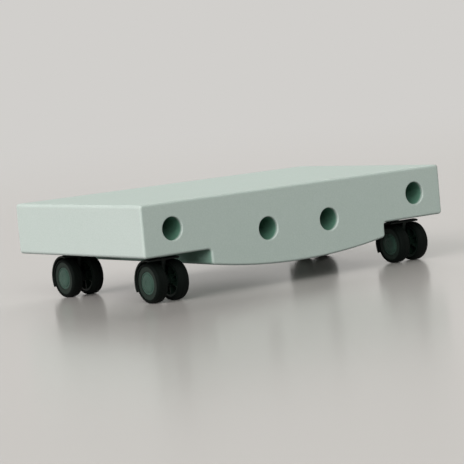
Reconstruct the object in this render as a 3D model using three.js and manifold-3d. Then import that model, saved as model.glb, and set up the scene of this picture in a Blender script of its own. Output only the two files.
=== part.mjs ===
// A child's scooter board: a foam deck with a deep middle and four holes bored across it, carried
// near its corners on hooded twin-wheel casters, which swivel and roll freely.
// Lengths are in millimetres and angles in degrees. +Z is up, and the origin is on the floor under
// the middle of the deck. The front end is at -X and the left side at -Y. At rest the wheels of
// every caster trail towards -Y, so their axles lie along the deck.
import * as THREE from "three";
import { mergeVertices } from "three/addons/utils/BufferGeometryUtils.js";
import Module from "manifold-3d";

const wasm = await Module();
wasm.setup();

// Deck: thin ends, and a middle that hangs below them with a bowed underside
const deckLength = 470;
const deckWidth = 295;
const endThickness = 65;
const stepFromEnd = 98;
const stepDepth = 19;
const bellyDepth = 31;
const sideEdgeRadius = 3;
const endEdgeRadius = 4;
const stepEdgeRadius = 5;
const stepFootRadius = 4;

// Holes bored across the deck, heights taken from the underside of its ends
const holeDiameter = 29;
const holeMouthBevel = 1.2;
const outerHoleFromEnd = 44;
const outerHoleHeight = 32;
const innerHoleFromMiddle = 48;
const innerHoleHeight = 15;

// Rails let into the underside of each end, to take the caster screws
const railFromSide = 22;
const railWidth = 62;
const railThickness = 10;
const railCornerRadius = 8;
const railWall = 2.5;
const railFloor = 2.5;
const railCellRows = 2;
const railCellColumns = 6;

// Where the casters stand, and how far the wheels trail behind the swivel axis
const casterFromEnd = 44;
const casterFromSide = 50;
const casterTrail = 18;

// Wheels
const wheelDiameter = 50;
const wheelWidth = 16;
const wheelGap = 15;
const treadDepth = 4;
const treadShoulder = 3.5;
const rimThickness = 3;
const rimSetback = 1;
const hubDiameter = 14;
const webThickness = 2.5;
const capDiameter = 28;
const capRecess = 2.5;
const capThickness = 1.8;
const capCrown = 1.2;
const capFlatShare = 0.6;
const ribCount = 6;
const ribThickness = 1.6;
const ribSetback = 2;
const ribBite = 0.5;

// Axle, a pin through the hood and both wheels
const axleDiameter = 6;
const axleClearance = 0.2;
const axleChamfer = 0.6;

// Hood: a curved guard over the wheels, on a web that stands between them
const hoodGap = 1.5;
const hoodWall = 2.5;
const hoodInset = 0.5;
const hoodFrontAngle = 105;
const hoodTailAngle = -25;
const hoodEdge = 0.8;
const webWidth = 6;
const axleBossDiameter = 13;
const bossEndGap = 0.5;
const barrelSideGap = 1;
const barrelFloor = 2;
const neckDiameter = 18;

// Plate, screwed up under the rail
const plateSize = 38;
const plateThickness = 2.5;
const plateCornerRadius = 5;
const screwPitch = 27;

// Kingpin, riveted into the plate, which the hood snaps onto and swivels about
const kingpinDiameter = 8;
const kingpinHeadDiameter = 13;
const kingpinHeadThickness = 1.6;
const kingpinReach = 24;
const kingpinTip = 1.5;
const kingpinTipDiameter = 6;
const grooveDiameter = 6.6;
const grooveHeight = 3;
const grooveFromEnd = 6;
const lipDiameter = 7.4;
const lipHeight = 1.8;
const kingpinClearance = 0.3;

// Screws, countersunk flush with the plate
const screwDiameter = 4;
const screwHeadDiameter = 7.6;
const screwHeadHeight = 2;
const screwHeadRim = 0.4;
const screwLength = 11;
const screwPoint = 2.5;

// Clearances
const seatGap = 0.3; // between pieces that rest on each other
const swivelGap = 1.2; // above the hood, so that it turns clear of the plate
const neckGap = 0.6;
const overrun = 5; // how far a cutter runs past what it cuts
const mergeDistance = 0.001;

// How finely round pieces are faceted
const wheelSides = 18;
const holeSides = 24;
const pinSides = 10;
const screwSides = 6;
const hoodArcStep = 13;
const bellySegments = 12;
const filletSegments = 1;
const deckEdgeSegments = 2;
const hoodEdgeSegments = 1;

// Levels and radii that follow from the sizes above
const wheelRadius = wheelDiameter / 2;
const hoodInnerRadius = wheelRadius + hoodGap;
const hoodOuterRadius = hoodInnerRadius + hoodWall;
const plateBottom = wheelRadius + hoodOuterRadius + swivelGap;
const plateTop = plateBottom + plateThickness;
const deckUnderside = plateTop + seatGap;
const deckTop = deckUnderside + endThickness;
const pairHalfWidth = wheelGap / 2 + wheelWidth;
const degree = Math.PI / 180;

const foam = new THREE.MeshStandardMaterial({ color: 0xb9cfc3, roughness: 0.8 });
const railPlastic = new THREE.MeshStandardMaterial({ color: 0x2b312e, roughness: 0.6 });
const hoodPlastic = new THREE.MeshStandardMaterial({ color: 0x17201c, roughness: 0.5 });
const wheelPlastic = new THREE.MeshStandardMaterial({ color: 0x1f2d27, roughness: 0.45 });
const capPlastic = new THREE.MeshStandardMaterial({ color: 0x35493f, roughness: 0.4 });
const treadRubber = new THREE.MeshStandardMaterial({ color: 0x101412, roughness: 0.75 });
const zincSteel = new THREE.MeshStandardMaterial({ color: 0xb4b8ba, roughness: 0.35, metalness: 1 });

// A closed geometry as a solid that can be joined and cut
function solidOf(geometry) {
  const bare = geometry.index ? geometry.toNonIndexed() : geometry.clone();
  bare.deleteAttribute("normal");
  bare.deleteAttribute("uv");
  const merged = mergeVertices(bare, mergeDistance);
  const corners = merged.index.array;
  const kept = [];
  for (let i = 0; i < corners.length; i += 3) {
    const [a, b, c] = corners.slice(i, i + 3);
    if (a !== b && b !== c && c !== a) kept.push(a, b, c);
  }
  return new wasm.Manifold(
    new wasm.Mesh({
      numProp: 3,
      vertProperties: merged.attributes.position.array,
      triVerts: new Uint32Array(kept),
    }),
  );
}

// A solid as a faceted geometry
function geometryOf(solid) {
  const mesh = solid.getMesh();
  const geometry = new THREE.BufferGeometry();
  geometry.setAttribute("position", new THREE.BufferAttribute(mesh.vertProperties, 3));
  geometry.setIndex(new THREE.BufferAttribute(mesh.triVerts, 1));
  const faceted = geometry.toNonIndexed();
  faceted.computeVertexNormals();
  return faceted;
}

// Turned shapes: the profile is a list of [radius, place along the axis], walked anticlockwise.
// The facets lie on the stated radius at the middle of each flat where flats is true.
function turned(profile, sides, flats = false) {
  const grow = flats ? 1 / Math.cos(Math.PI / sides) : 1;
  const points = profile.map(([radius, along]) => new THREE.Vector2(radius * grow, along));
  const first = profile[0];
  const last = profile[profile.length - 1];
  if (first[0] > 0 || last[0] > 0) points.push(points[0].clone());
  return new THREE.LatheGeometry(points, sides, Math.PI / sides);
}

function turnedAlongX(profile, sides, flats) {
  return turned(profile, sides, flats).rotateZ(-Math.PI / 2);
}

function turnedAlongY(profile, sides, flats) {
  return turned(profile, sides, flats);
}

function turnedAlongZ(profile, sides, flats) {
  return turned(profile, sides, flats).rotateX(Math.PI / 2);
}

// A plain round bar or cutter from one place on its axis to another
function bar(radius, from, to) {
  return [
    [0, from],
    [radius, from],
    [radius, to],
    [0, to],
  ];
}

// A closed outline through corners { x, y, radius }, each rounded to its radius
function roundedOutline(corners) {
  const outline = new THREE.Shape();
  corners.forEach((corner, i) => {
    const at = new THREE.Vector2(corner.x, corner.y);
    const before = corners[(i + corners.length - 1) % corners.length];
    const after = corners[(i + 1) % corners.length];
    const back = new THREE.Vector2(before.x, before.y).sub(at).normalize();
    const ahead = new THREE.Vector2(after.x, after.y).sub(at).normalize();
    const radius = corner.radius || 0;
    const half = Math.acos(THREE.MathUtils.clamp(back.dot(ahead), -1, 1)) / 2;
    const cut = radius > 0 ? radius / Math.tan(half) : 0;
    const start = at.clone().addScaledVector(back, cut);
    if (i === 0) outline.moveTo(start.x, start.y);
    else if (cut === 0) outline.lineTo(start.x, start.y);
    if (cut === 0) return;
    const end = at.clone().addScaledVector(ahead, cut);
    const middle = back.clone().add(ahead).normalize();
    const centre = at.clone().addScaledVector(middle, radius / Math.sin(half));
    const from = start.clone().sub(centre).angle();
    const to = end.clone().sub(centre).angle();
    outline.absarc(centre.x, centre.y, radius, from, to, back.cross(ahead) > 0);
  });
  outline.closePath();
  return outline;
}

function roundedRectangle(width, height, radius) {
  const x = width / 2;
  const y = height / 2;
  return roundedOutline([
    { x: -x, y: -y, radius },
    { x: x, y: -y, radius },
    { x: x, y: y, radius },
    { x: -x, y: y, radius },
  ]);
}

// An outline given depth about its own plane, with its two edges rounded
function extruded(outline, depth, edge = 0, edgeSegments = 0) {
  const geometry = new THREE.ExtrudeGeometry(outline, {
    depth: depth - 2 * edge,
    curveSegments: filletSegments,
    bevelEnabled: edge > 0,
    bevelThickness: edge,
    bevelSize: edge,
    bevelOffset: -edge,
    bevelSegments: edgeSegments,
  });
  return geometry.translate(0, 0, edge - depth / 2);
}

// Side outlines: the outline's x becomes X or Y, and its y becomes Z
function extrudedAcross(outline, depth, edge, edgeSegments) {
  return extruded(outline, depth, edge, edgeSegments).rotateX(Math.PI / 2);
}

function extrudedAlong(outline, depth, edge, edgeSegments) {
  const turn = new THREE.Matrix4().makeBasis(
    new THREE.Vector3(0, 1, 0),
    new THREE.Vector3(0, 0, 1),
    new THREE.Vector3(1, 0, 0),
  );
  return extruded(outline, depth, edge, edgeSegments).applyMatrix4(turn);
}

function deckOutline() {
  const end = deckLength / 2;
  const step = end - stepFromEnd;
  const bow = bellyDepth - stepDepth;
  const bowRadius = (step * step + bow * bow) / (2 * bow);
  const bowCentre = deckUnderside - bellyDepth + bowRadius;
  const halfAngle = Math.asin(step / bowRadius);
  const corners = [
    { x: -end, y: deckTop, radius: endEdgeRadius },
    { x: -end, y: deckUnderside, radius: endEdgeRadius },
    { x: -step, y: deckUnderside, radius: stepFootRadius },
  ];
  for (let i = 0; i <= bellySegments; i += 1) {
    const angle = (2 * i / bellySegments - 1) * halfAngle;
    const atStep = i === 0 || i === bellySegments;
    corners.push({
      x: bowRadius * Math.sin(angle),
      y: bowCentre - bowRadius * Math.cos(angle),
      radius: atStep ? stepEdgeRadius : 0,
    });
  }
  corners.push(
    { x: step, y: deckUnderside, radius: stepFootRadius },
    { x: end, y: deckUnderside, radius: endEdgeRadius },
    { x: end, y: deckTop, radius: endEdgeRadius },
  );
  return roundedOutline(corners);
}

// Each end's sign along X, with the middle of its rail
const ends = { front: -1, rear: 1 };
const railX = deckLength / 2 - casterFromEnd;
const railLength = deckWidth - 2 * railFromSide;

function crossHole(x, height) {
  const radius = holeDiameter / 2;
  const side = deckWidth / 2;
  const wide = radius + holeMouthBevel + overrun;
  const profile = [
    [0, -side - overrun],
    [wide, -side - overrun],
    [radius, -side + holeMouthBevel],
    [radius, side - holeMouthBevel],
    [wide, side + overrun],
    [0, side + overrun],
  ];
  return turnedAlongY(profile, holeSides).translate(x, 0, deckUnderside + height);
}

function deckGeometry() {
  const block = extrudedAcross(deckOutline(), deckWidth, sideEdgeRadius, deckEdgeSegments);
  let solid = solidOf(block);
  for (const sign of Object.values(ends)) {
    const outer = crossHole(sign * (deckLength / 2 - outerHoleFromEnd), outerHoleHeight);
    const inner = crossHole(sign * innerHoleFromMiddle, innerHoleHeight);
    const depth = railThickness + seatGap + overrun;
    const pocket = extruded(
      roundedRectangle(
        railWidth + 2 * seatGap,
        railLength + 2 * seatGap,
        railCornerRadius + seatGap,
      ),
      depth,
    ).translate(sign * railX, 0, deckUnderside - overrun + depth / 2);
    solid = solid.subtract(solidOf(outer)).subtract(solidOf(inner)).subtract(solidOf(pocket));
  }
  return geometryOf(solid);
}

// Where the screws pass through a plate, about its middle
const screwPlaces = [
  [-1, -1],
  [1, -1],
  [1, 1],
  [-1, 1],
].map(([x, y]) => [(x * screwPitch) / 2, (y * screwPitch) / 2]);

function railGeometry() {
  const body = extruded(roundedRectangle(railWidth, railLength, railCornerRadius), railThickness);
  let solid = solidOf(body.translate(0, 0, railThickness / 2));
  const cellsLength = 2 * (deckWidth / 2 - casterFromSide - plateSize / 2);
  const cellPitchX = (railWidth - railWall) / railCellRows;
  const cellPitchY = (cellsLength - railWall) / railCellColumns;
  const cellDepth = railThickness - railFloor + overrun;
  for (let row = 0; row < railCellRows; row += 1) {
    for (let column = 0; column < railCellColumns; column += 1) {
      const cell = new THREE.BoxGeometry(cellPitchX - railWall, cellPitchY - railWall, cellDepth);
      cell.translate(
        (row - (railCellRows - 1) / 2) * cellPitchX,
        (column - (railCellColumns - 1) / 2) * cellPitchY,
        railFloor + cellDepth / 2,
      );
      solid = solid.subtract(solidOf(cell));
    }
  }
  const headRoom = 2 * seatGap + kingpinHeadThickness;
  const relief = bar(kingpinHeadDiameter / 2 + seatGap, -overrun, headRoom);
  const pilotDepth = plateBottom + screwLength + seatGap - deckUnderside;
  const pilot = bar(screwDiameter / 2 + seatGap, -overrun, pilotDepth);
  for (const side of [-1, 1]) {
    const y = side * (deckWidth / 2 - casterFromSide);
    solid = solid.subtract(solidOf(turnedAlongZ(relief, pinSides).translate(0, y, 0)));
    for (const [dx, dy] of screwPlaces) {
      const hole = turnedAlongZ(pilot, screwSides, true).translate(dx, y + dy, 0);
      solid = solid.subtract(solidOf(hole));
    }
  }
  return geometryOf(solid);
}

// Screw profile from the flat of its head up to its point, and the seat cut for it
const screwProfile = [
  [0, 0],
  [screwHeadDiameter / 2, 0],
  [screwHeadDiameter / 2, screwHeadRim],
  [screwDiameter / 2, screwHeadHeight],
  [screwDiameter / 2, screwLength - screwPoint],
  [0, screwLength],
];
const screwSeat = [
  [0, -overrun],
  [screwHeadDiameter / 2 + seatGap, -overrun],
  [screwHeadDiameter / 2 + seatGap, screwHeadRim],
  [screwDiameter / 2 + seatGap, screwHeadHeight],
  [screwDiameter / 2 + seatGap, plateThickness + overrun],
  [0, plateThickness + overrun],
];

function plateGeometry() {
  const body = extruded(roundedRectangle(plateSize, plateSize, plateCornerRadius), plateThickness);
  let solid = solidOf(body.translate(0, 0, plateThickness / 2));
  const bore = bar(kingpinDiameter / 2 + kingpinClearance, -overrun, plateThickness + overrun);
  solid = solid.subtract(solidOf(turnedAlongZ(bore, pinSides, true)));
  for (const [x, y] of screwPlaces) {
    const seat = turnedAlongZ(screwSeat, screwSides, true).translate(x, y, 0);
    solid = solid.subtract(solidOf(seat));
  }
  return geometryOf(solid);
}

// Kingpin, measured down from the underside of the plate: a riveted head, and a groove near its
// lower end that the hood's lip snaps into
const kingpinFoot = plateBottom - kingpinReach;
const grooveBottom = kingpinFoot + grooveFromEnd;

function kingpinGeometry() {
  const radius = kingpinDiameter / 2;
  const head = plateTop + seatGap;
  const profile = [
    [0, kingpinFoot],
    [kingpinTipDiameter / 2, kingpinFoot],
    [radius, kingpinFoot + kingpinTip],
    [radius, grooveBottom],
    [grooveDiameter / 2, grooveBottom],
    [grooveDiameter / 2, grooveBottom + grooveHeight],
    [radius, grooveBottom + grooveHeight],
    [radius, head],
    [kingpinHeadDiameter / 2, head],
    [kingpinHeadDiameter / 2, head + kingpinHeadThickness],
    [0, head + kingpinHeadThickness],
  ];
  return turnedAlongZ(profile, pinSides);
}

// The bore in the hood that the kingpin turns in, narrowed by a lip at its groove
function kingpinBore() {
  const radius = kingpinDiameter / 2 + kingpinClearance;
  const lipMiddle = grooveBottom + grooveHeight / 2;
  const profile = [
    [0, kingpinFoot - seatGap],
    [radius, kingpinFoot - seatGap],
    [radius, lipMiddle - lipHeight / 2],
    [lipDiameter / 2, lipMiddle - lipHeight / 2],
    [lipDiameter / 2, lipMiddle + lipHeight / 2],
    [radius, lipMiddle + lipHeight / 2],
    [radius, plateBottom],
    [0, plateBottom],
  ];
  return turnedAlongZ(profile, pinSides, true);
}

// A ring sector about the axle, seen along it; angles run from the swivel side up over the wheels
function sector(innerRadius, outerRadius) {
  const steps = Math.ceil((hoodFrontAngle - hoodTailAngle) / hoodArcStep);
  const angleAt = (i) => (hoodTailAngle + (i / steps) * (hoodFrontAngle - hoodTailAngle)) * degree;
  const shape = new THREE.Shape();
  shape.moveTo(outerRadius * Math.cos(angleAt(0)), outerRadius * Math.sin(angleAt(0)));
  for (let i = 1; i <= steps; i += 1) {
    shape.lineTo(outerRadius * Math.cos(angleAt(i)), outerRadius * Math.sin(angleAt(i)));
  }
  if (innerRadius > 0) {
    for (let i = steps; i >= 0; i -= 1) {
      shape.lineTo(innerRadius * Math.cos(angleAt(i)), innerRadius * Math.sin(angleAt(i)));
    }
  } else shape.lineTo(0, 0);
  shape.closePath();
  return shape;
}

// The hood stands on its swivel axis, at floor level; the axle is a trail's length towards -Y
function hoodGeometry() {
  const toAxle = [0, -casterTrail, wheelRadius];
  const guardWidth = 2 * (pairHalfWidth - hoodInset);
  const shell = sector(hoodInnerRadius, hoodOuterRadius);
  const guard = extrudedAlong(shell, guardWidth, hoodEdge, hoodEdgeSegments);
  const web = extrudedAlong(sector(0, hoodInnerRadius + hoodWall / 2), webWidth);
  const bossHalf = wheelGap / 2 - bossEndGap;
  const boss = turnedAlongX(bar(axleBossDiameter / 2, -bossHalf, bossHalf), pinSides);
  const drum = turnedAlongX(bar(hoodInnerRadius, -pairHalfWidth, pairHalfWidth), wheelSides, true);
  const barrelFoot = kingpinFoot - seatGap - barrelFloor;
  const barrelTop = plateBottom - neckGap;
  const barrel = bar(wheelGap / 2 - barrelSideGap, barrelFoot, barrelTop);
  const neck = bar(neckDiameter / 2, plateBottom - hoodOuterRadius, barrelTop);
  const axleBore = bar(axleDiameter / 2 + axleClearance, -bossHalf - overrun, bossHalf + overrun);
  const placed = (geometry) => solidOf(geometry.translate(...toAxle));
  const solid = solidOf(turnedAlongZ(neck, pinSides))
    .subtract(placed(drum))
    .add(placed(guard))
    .add(placed(web))
    .add(placed(boss))
    .add(solidOf(turnedAlongZ(barrel, pinSides)))
    .subtract(solidOf(kingpinBore()))
    .subtract(placed(turnedAlongX(axleBore, pinSides, true)));
  return geometryOf(solid);
}

// Wheels are measured along the axle from their inner face outwards
const webInside = wheelWidth - rimSetback - capRecess - webThickness;
const webOutside = webInside + webThickness;
const rimRadius = wheelRadius - treadDepth - seatGap;

function wheelGeometry() {
  const bore = axleDiameter / 2 + axleClearance;
  const rimInside = rimRadius - rimThickness;
  const recess = capDiameter / 2 + seatGap;
  const profile = [
    [bore, 0],
    [hubDiameter / 2, 0],
    [hubDiameter / 2, webInside],
    [rimInside, webInside],
    [rimInside, rimSetback],
    [rimRadius, rimSetback],
    [rimRadius, wheelWidth - rimSetback],
    [recess, wheelWidth - rimSetback],
    [recess, webOutside],
    [bore, webOutside],
  ];
  let solid = solidOf(turnedAlongX(profile, wheelSides, true));
  const ribLength = rimInside - hubDiameter / 2 + 2 * ribBite;
  const ribDepth = webInside + ribBite - ribSetback;
  for (let i = 0; i < ribCount; i += 1) {
    const rib = new THREE.BoxGeometry(ribDepth, ribThickness, ribLength);
    rib.translate(ribSetback + ribDepth / 2, 0, (rimInside + hubDiameter / 2) / 2);
    rib.rotateX((i / ribCount) * 360 * degree);
    solid = solid.add(solidOf(rib));
  }
  return geometryOf(solid);
}

function treadGeometry() {
  const inner = wheelRadius - treadDepth;
  const shoulder = (fromSide, turn) => [
    wheelRadius - treadShoulder * (1 - Math.sin(turn)),
    fromSide + treadShoulder * (fromSide > 0 ? Math.cos(turn) - 1 : 1 - Math.cos(turn)),
  ];
  const turns = [0, 45, 90].map((angle) => angle * degree);
  const profile = [
    [inner, 0],
    ...turns.map((turn) => shoulder(0, turn)),
    ...turns.toReversed().map((turn) => shoulder(wheelWidth, turn)),
    [inner, wheelWidth],
  ];
  return turnedAlongX(profile, wheelSides, true);
}

function capGeometry() {
  const seat = webOutside + seatGap;
  const radius = capDiameter / 2;
  const profile = [
    [0, seat],
    [radius, seat],
    [radius, seat + capThickness],
    [capFlatShare * radius, seat + capThickness + capCrown],
    [0, seat + capThickness + capCrown],
  ];
  return turnedAlongX(profile, wheelSides, true);
}

function axleGeometry() {
  const half = wheelGap / 2 + webOutside - seatGap;
  const radius = axleDiameter / 2;
  const profile = [
    [0, -half],
    [radius - axleChamfer, -half],
    [radius, axleChamfer - half],
    [radius, half - axleChamfer],
    [radius - axleChamfer, half],
    [0, half],
  ];
  return turnedAlongX(profile, pinSides);
}

function named(name, geometry, material) {
  const mesh = new THREE.Mesh(geometry, material);
  mesh.name = name;
  return mesh;
}

// Every caster is made from the same shapes
const plateShape = plateGeometry();
const screwShape = turnedAlongZ(screwProfile, screwSides);
const kingpinShape = kingpinGeometry();
const hoodShape = hoodGeometry();
const axleShape = axleGeometry();
const wheelShape = wheelGeometry();
const treadShape = treadGeometry();
const capShape = capGeometry();

function wheelGroup(name, outward) {
  const wheel = new THREE.Group();
  wheel.add(
    named(`${name}_wheel`, wheelShape, wheelPlastic),
    named(`${name}_tread`, treadShape, treadRubber),
    named(`${name}_cap`, capShape, capPlastic),
  );
  wheel.position.set((outward * wheelGap) / 2, -casterTrail, wheelRadius);
  wheel.rotation.z = outward > 0 ? 0 : Math.PI;
  return wheel;
}

function casterGroup(name) {
  const caster = new THREE.Group();
  const plate = named(`${name}_plate`, plateShape, zincSteel);
  plate.position.z = plateBottom;
  caster.add(plate, named(`${name}_kingpin`, kingpinShape, zincSteel));
  screwPlaces.forEach(([x, y], i) => {
    const screw = named(`${name}_screw_${i + 1}`, screwShape, zincSteel);
    screw.position.set(x, y, plateBottom);
    caster.add(screw);
  });
  const axle = named(`${name}_axle`, axleShape, zincSteel);
  axle.position.set(0, -casterTrail, wheelRadius);
  caster.add(named(`${name}_hood`, hoodShape, hoodPlastic), axle);
  caster.add(wheelGroup(`${name}_fore`, -1), wheelGroup(`${name}_aft`, 1));
  return caster;
}

const board = new THREE.Group();
board.add(named("deck", deckGeometry(), foam));
const railShape = railGeometry();
for (const [end, sign] of Object.entries(ends)) {
  const rail = named(`${end}_rail`, railShape, railPlastic);
  rail.position.set(sign * railX, 0, deckUnderside);
  board.add(rail);
  for (const [side, across] of Object.entries({ left: -1, right: 1 })) {
    const caster = casterGroup(`${end}_${side}`);
    caster.position.set(sign * railX, across * (deckWidth / 2 - casterFromSide), 0);
    board.add(caster);
  }
}

export default board;
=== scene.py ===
import math

import bmesh
import bpy
from mathutils import Matrix, Vector
from mathutils.geometry import area_tri, tessellate_polygon


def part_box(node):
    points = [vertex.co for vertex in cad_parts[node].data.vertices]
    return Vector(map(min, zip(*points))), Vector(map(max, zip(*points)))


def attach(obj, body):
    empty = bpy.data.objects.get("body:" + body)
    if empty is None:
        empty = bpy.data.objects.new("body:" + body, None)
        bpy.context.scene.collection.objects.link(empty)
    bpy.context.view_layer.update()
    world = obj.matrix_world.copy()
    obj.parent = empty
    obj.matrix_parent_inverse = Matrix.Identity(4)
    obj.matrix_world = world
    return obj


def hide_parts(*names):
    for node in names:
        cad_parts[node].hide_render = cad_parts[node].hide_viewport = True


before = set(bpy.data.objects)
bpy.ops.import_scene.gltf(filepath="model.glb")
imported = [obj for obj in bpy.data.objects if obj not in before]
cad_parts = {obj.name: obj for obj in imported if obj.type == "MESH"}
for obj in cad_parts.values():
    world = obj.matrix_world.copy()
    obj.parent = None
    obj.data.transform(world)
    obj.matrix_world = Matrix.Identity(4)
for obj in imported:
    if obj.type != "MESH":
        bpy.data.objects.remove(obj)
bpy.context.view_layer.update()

scene = bpy.context.scene
print("frame loaded with", len(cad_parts), "nodes")

# Camera, fitted to the board's corners, steps, holes and wheels in the photograph
camera = {
    "azimuth": -35.2,
    "elevation": 4.8,
    "roll": -5.2,
    "distance": 3.0,
    "lens": 178,
    "aim": (0.0, 0.0, 0.060),
}


def makeCamera():
    turn = Matrix.Rotation(math.radians(camera["azimuth"]), 4, "Z")
    tilt = Matrix.Rotation(math.radians(90 - camera["elevation"]), 4, "X")
    roll = Matrix.Rotation(math.radians(camera["roll"]), 4, "Z")
    back = Matrix.Translation((0, 0, camera["distance"]))
    lens = bpy.data.cameras.new("camera")
    lens.lens = camera["lens"]
    eye = bpy.data.objects.new("camera", lens)
    eye.matrix_world = Matrix.Translation(camera["aim"]) @ turn @ tilt @ back @ roll
    scene.collection.objects.link(eye)
    scene.camera = eye


makeCamera()
scene.view_settings.view_transform = "Standard"


# Maths as plain expressions: a Socket adds its Math nodes when it is used in a sum
class Socket:
    def __init__(self, owner, socket):
        self.owner = owner
        self.socket = socket

    def maths(self, operation, first, second):
        return self.owner.node("ShaderNodeMath", {"operation": operation}, {0: first, 1: second})

    def atLeast(self, other):
        return self.maths("MAXIMUM", self, other)

    def __add__(self, other):
        return self.maths("ADD", self, other)

    def __sub__(self, other):
        return self.maths("SUBTRACT", self, other)

    def __rsub__(self, other):
        return self.maths("SUBTRACT", other, self)

    def __mul__(self, other):
        return self.maths("MULTIPLY", self, other)

    def __truediv__(self, other):
        return self.maths("DIVIDE", self, other)

    def __rtruediv__(self, other):
        return self.maths("DIVIDE", other, self)

    __radd__ = __add__
    __rmul__ = __mul__


# A node tree that calls add to
class Nodes:
    def __init__(self, tree):
        self.tree = tree

    # Any node: its type, its settings, then the values or links of its sockets
    def node(self, kind, settings=None, sockets=None, output=0):
        made = self.tree.nodes.new(kind)
        for key, value in (settings or {}).items():
            if key == "stops":
                self.fillRamp(made.color_ramp, value)
            else:
                setattr(made, key, value)
        for key, value in (sockets or {}).items():
            self.plug(made.inputs[key], value)
        return Socket(self, made.outputs[output])

    # A colour between two others, by a factor from 0 to 1
    def between(self, factor, first, second):
        sockets = {"Factor": factor, 6: first, 7: second}  # 6 and 7 are its colours, 2 the result
        return self.node("ShaderNodeMix", {"data_type": "RGBA"}, sockets, output=2)

    def plug(self, target, value):
        if isinstance(value, Socket):
            self.tree.links.new(value.socket, target)
        else:
            target.default_value = value

    def fillRamp(self, ramp, stops):
        for element, (position, level) in zip(ramp.elements, stops):
            element.position = position
            element.color = grey(level)


# A material: the Principled shader, with the fixed values of its sockets
class Finish(Nodes):
    def __init__(self, name, fixed):
        self.material = bpy.data.materials.new(name)
        self.material.use_nodes = True
        super().__init__(self.material.node_tree)
        self.surface = self.tree.nodes["Principled BSDF"]
        for socket, value in fixed.items():
            self.feed(socket, value)

    def feed(self, name, value):
        self.plug(self.surface.inputs[name], value)

    def place(self, output="Object"):
        return self.node("ShaderNodeTexCoord", output=output)

    def noise(self, at, size, detail=3.0):
        sockets = {"Vector": at, "Scale": 1 / size, "Detail": detail}
        return self.node("ShaderNodeTexNoise", sockets=sockets)

    def ramp(self, value, low, high):
        return self.node("ShaderNodeValToRGB", {"stops": [(low, 0), (high, 1)]}, {0: value})

    def stretched(self, at, scale):
        return self.node("ShaderNodeMapping", sockets={"Vector": at, "Scale": scale})

    def bump(self, height, depth):
        sockets = {"Height": height, "Distance": depth}
        self.feed("Normal", self.node("ShaderNodeBump", sockets=sockets))


# A Geometry Nodes tree with named inputs, worked into a plain mesh by settleOn
class Recipe(Nodes):
    kinds = {float: "Float", int: "Int", bpy.types.Object: "Object", bpy.types.Material: "Material"}

    def __init__(self, name, values):
        super().__init__(bpy.data.node_groups.new(name, "GeometryNodeTree"))
        self.values = values
        sockets = self.tree.interface
        for way in ("OUTPUT", "INPUT"):
            sockets.new_socket("Geometry", in_out=way, socket_type="NodeSocketGeometry")
        for label, value in values.items():
            kind = "NodeSocket" + self.kinds[type(value)]
            sockets.new_socket(label, in_out="INPUT", socket_type=kind)
        self.source = self.tree.nodes.new("NodeGroupInput")
        self.sink = self.tree.nodes.new("NodeGroupOutput")

    def ask(self, label):
        return Socket(self, self.source.outputs[label])

    def vector(self, x=0.0, y=0.0, z=0.0):
        return self.node("ShaderNodeCombineXYZ", sockets={0: x, 1: y, 2: z})

    def copies(self, points, instance, rotation=(0, 0, 0)):
        sockets = {"Points": points, "Instance": instance, "Rotation": rotation}
        return self.node("GeometryNodeInstanceOnPoints", sockets=sockets)

    def realized(self, geometry):
        return self.node("GeometryNodeRealizeInstances", sockets={0: geometry})

    # Both meshes go into the one socket that takes many
    def joined(self, first, second):
        settings = {"operation": "UNION", "solver": "EXACT"}
        made = self.node("GeometryNodeMeshBoolean", settings, {1: first})
        self.plug(made.socket.node.inputs[1], second)
        return made

    def settleOn(self, piece, geometry):
        ready = self.realized(geometry)
        finish = {"Geometry": ready, "Material": self.ask("Finish")}
        self.plug(self.sink.inputs[0], self.node("GeometryNodeSetMaterial", sockets=finish))
        step = piece.modifiers.new(self.tree.name, "NODES")
        step.node_group = self.tree
        for socket in self.tree.interface.items_tree:
            if socket.in_out == "INPUT" and socket.name in self.values:
                step[socket.identifier] = self.values[socket.name]
        settle(piece)


# A colour as seen on screen, from 0 to 255, as the linear values that a material takes
def colour(red, green, blue):
    channels = [value / 255 for value in (red, green, blue)]
    linear = [((c + 0.055) / 1.055) ** 2.4 if c > 0.04045 else c / 12.92 for c in channels]
    return (*linear, 1.0)


def grey(level):
    return (level, level, level, 1.0)


# Closed-cell foam: faint beads under a matte moulded skin, with painted shade, a darker green, in
# the holes and on the steps
foam = {
    "colour": colour(191, 204, 196),
    "seamColour": colour(176, 192, 183),
    "paleColour": colour(197, 209, 202),
    # painted shade: the darker green that the hole walls and step faces are mixed towards
    "shadeColour": colour(98, 140, 121),
    "beadSize": 0.0038,
    "warpSize": 0.0076,
    "warpDepth": 0.0019,
    "grainSize": 0.0007,
    "cloudSize": 0.05,
    "seamWidth": 0.12,
    "seamShare": 0.3,
    "toneShare": 0.3,
    "cloudShare": 0.5,
    "grainShare": 0.25,
    "paleDrop": 0.1,
    "roughness": 0.72,
    "grainRoughness": 0.12,
    "seamRoughness": 0.06,
    "beadWidth": 0.3,
    "beadBump": 0.6,
    "grainBump": 0.4,
    "bumpDepth": 0.00008,
    "shine": 0.3,
}


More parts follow.
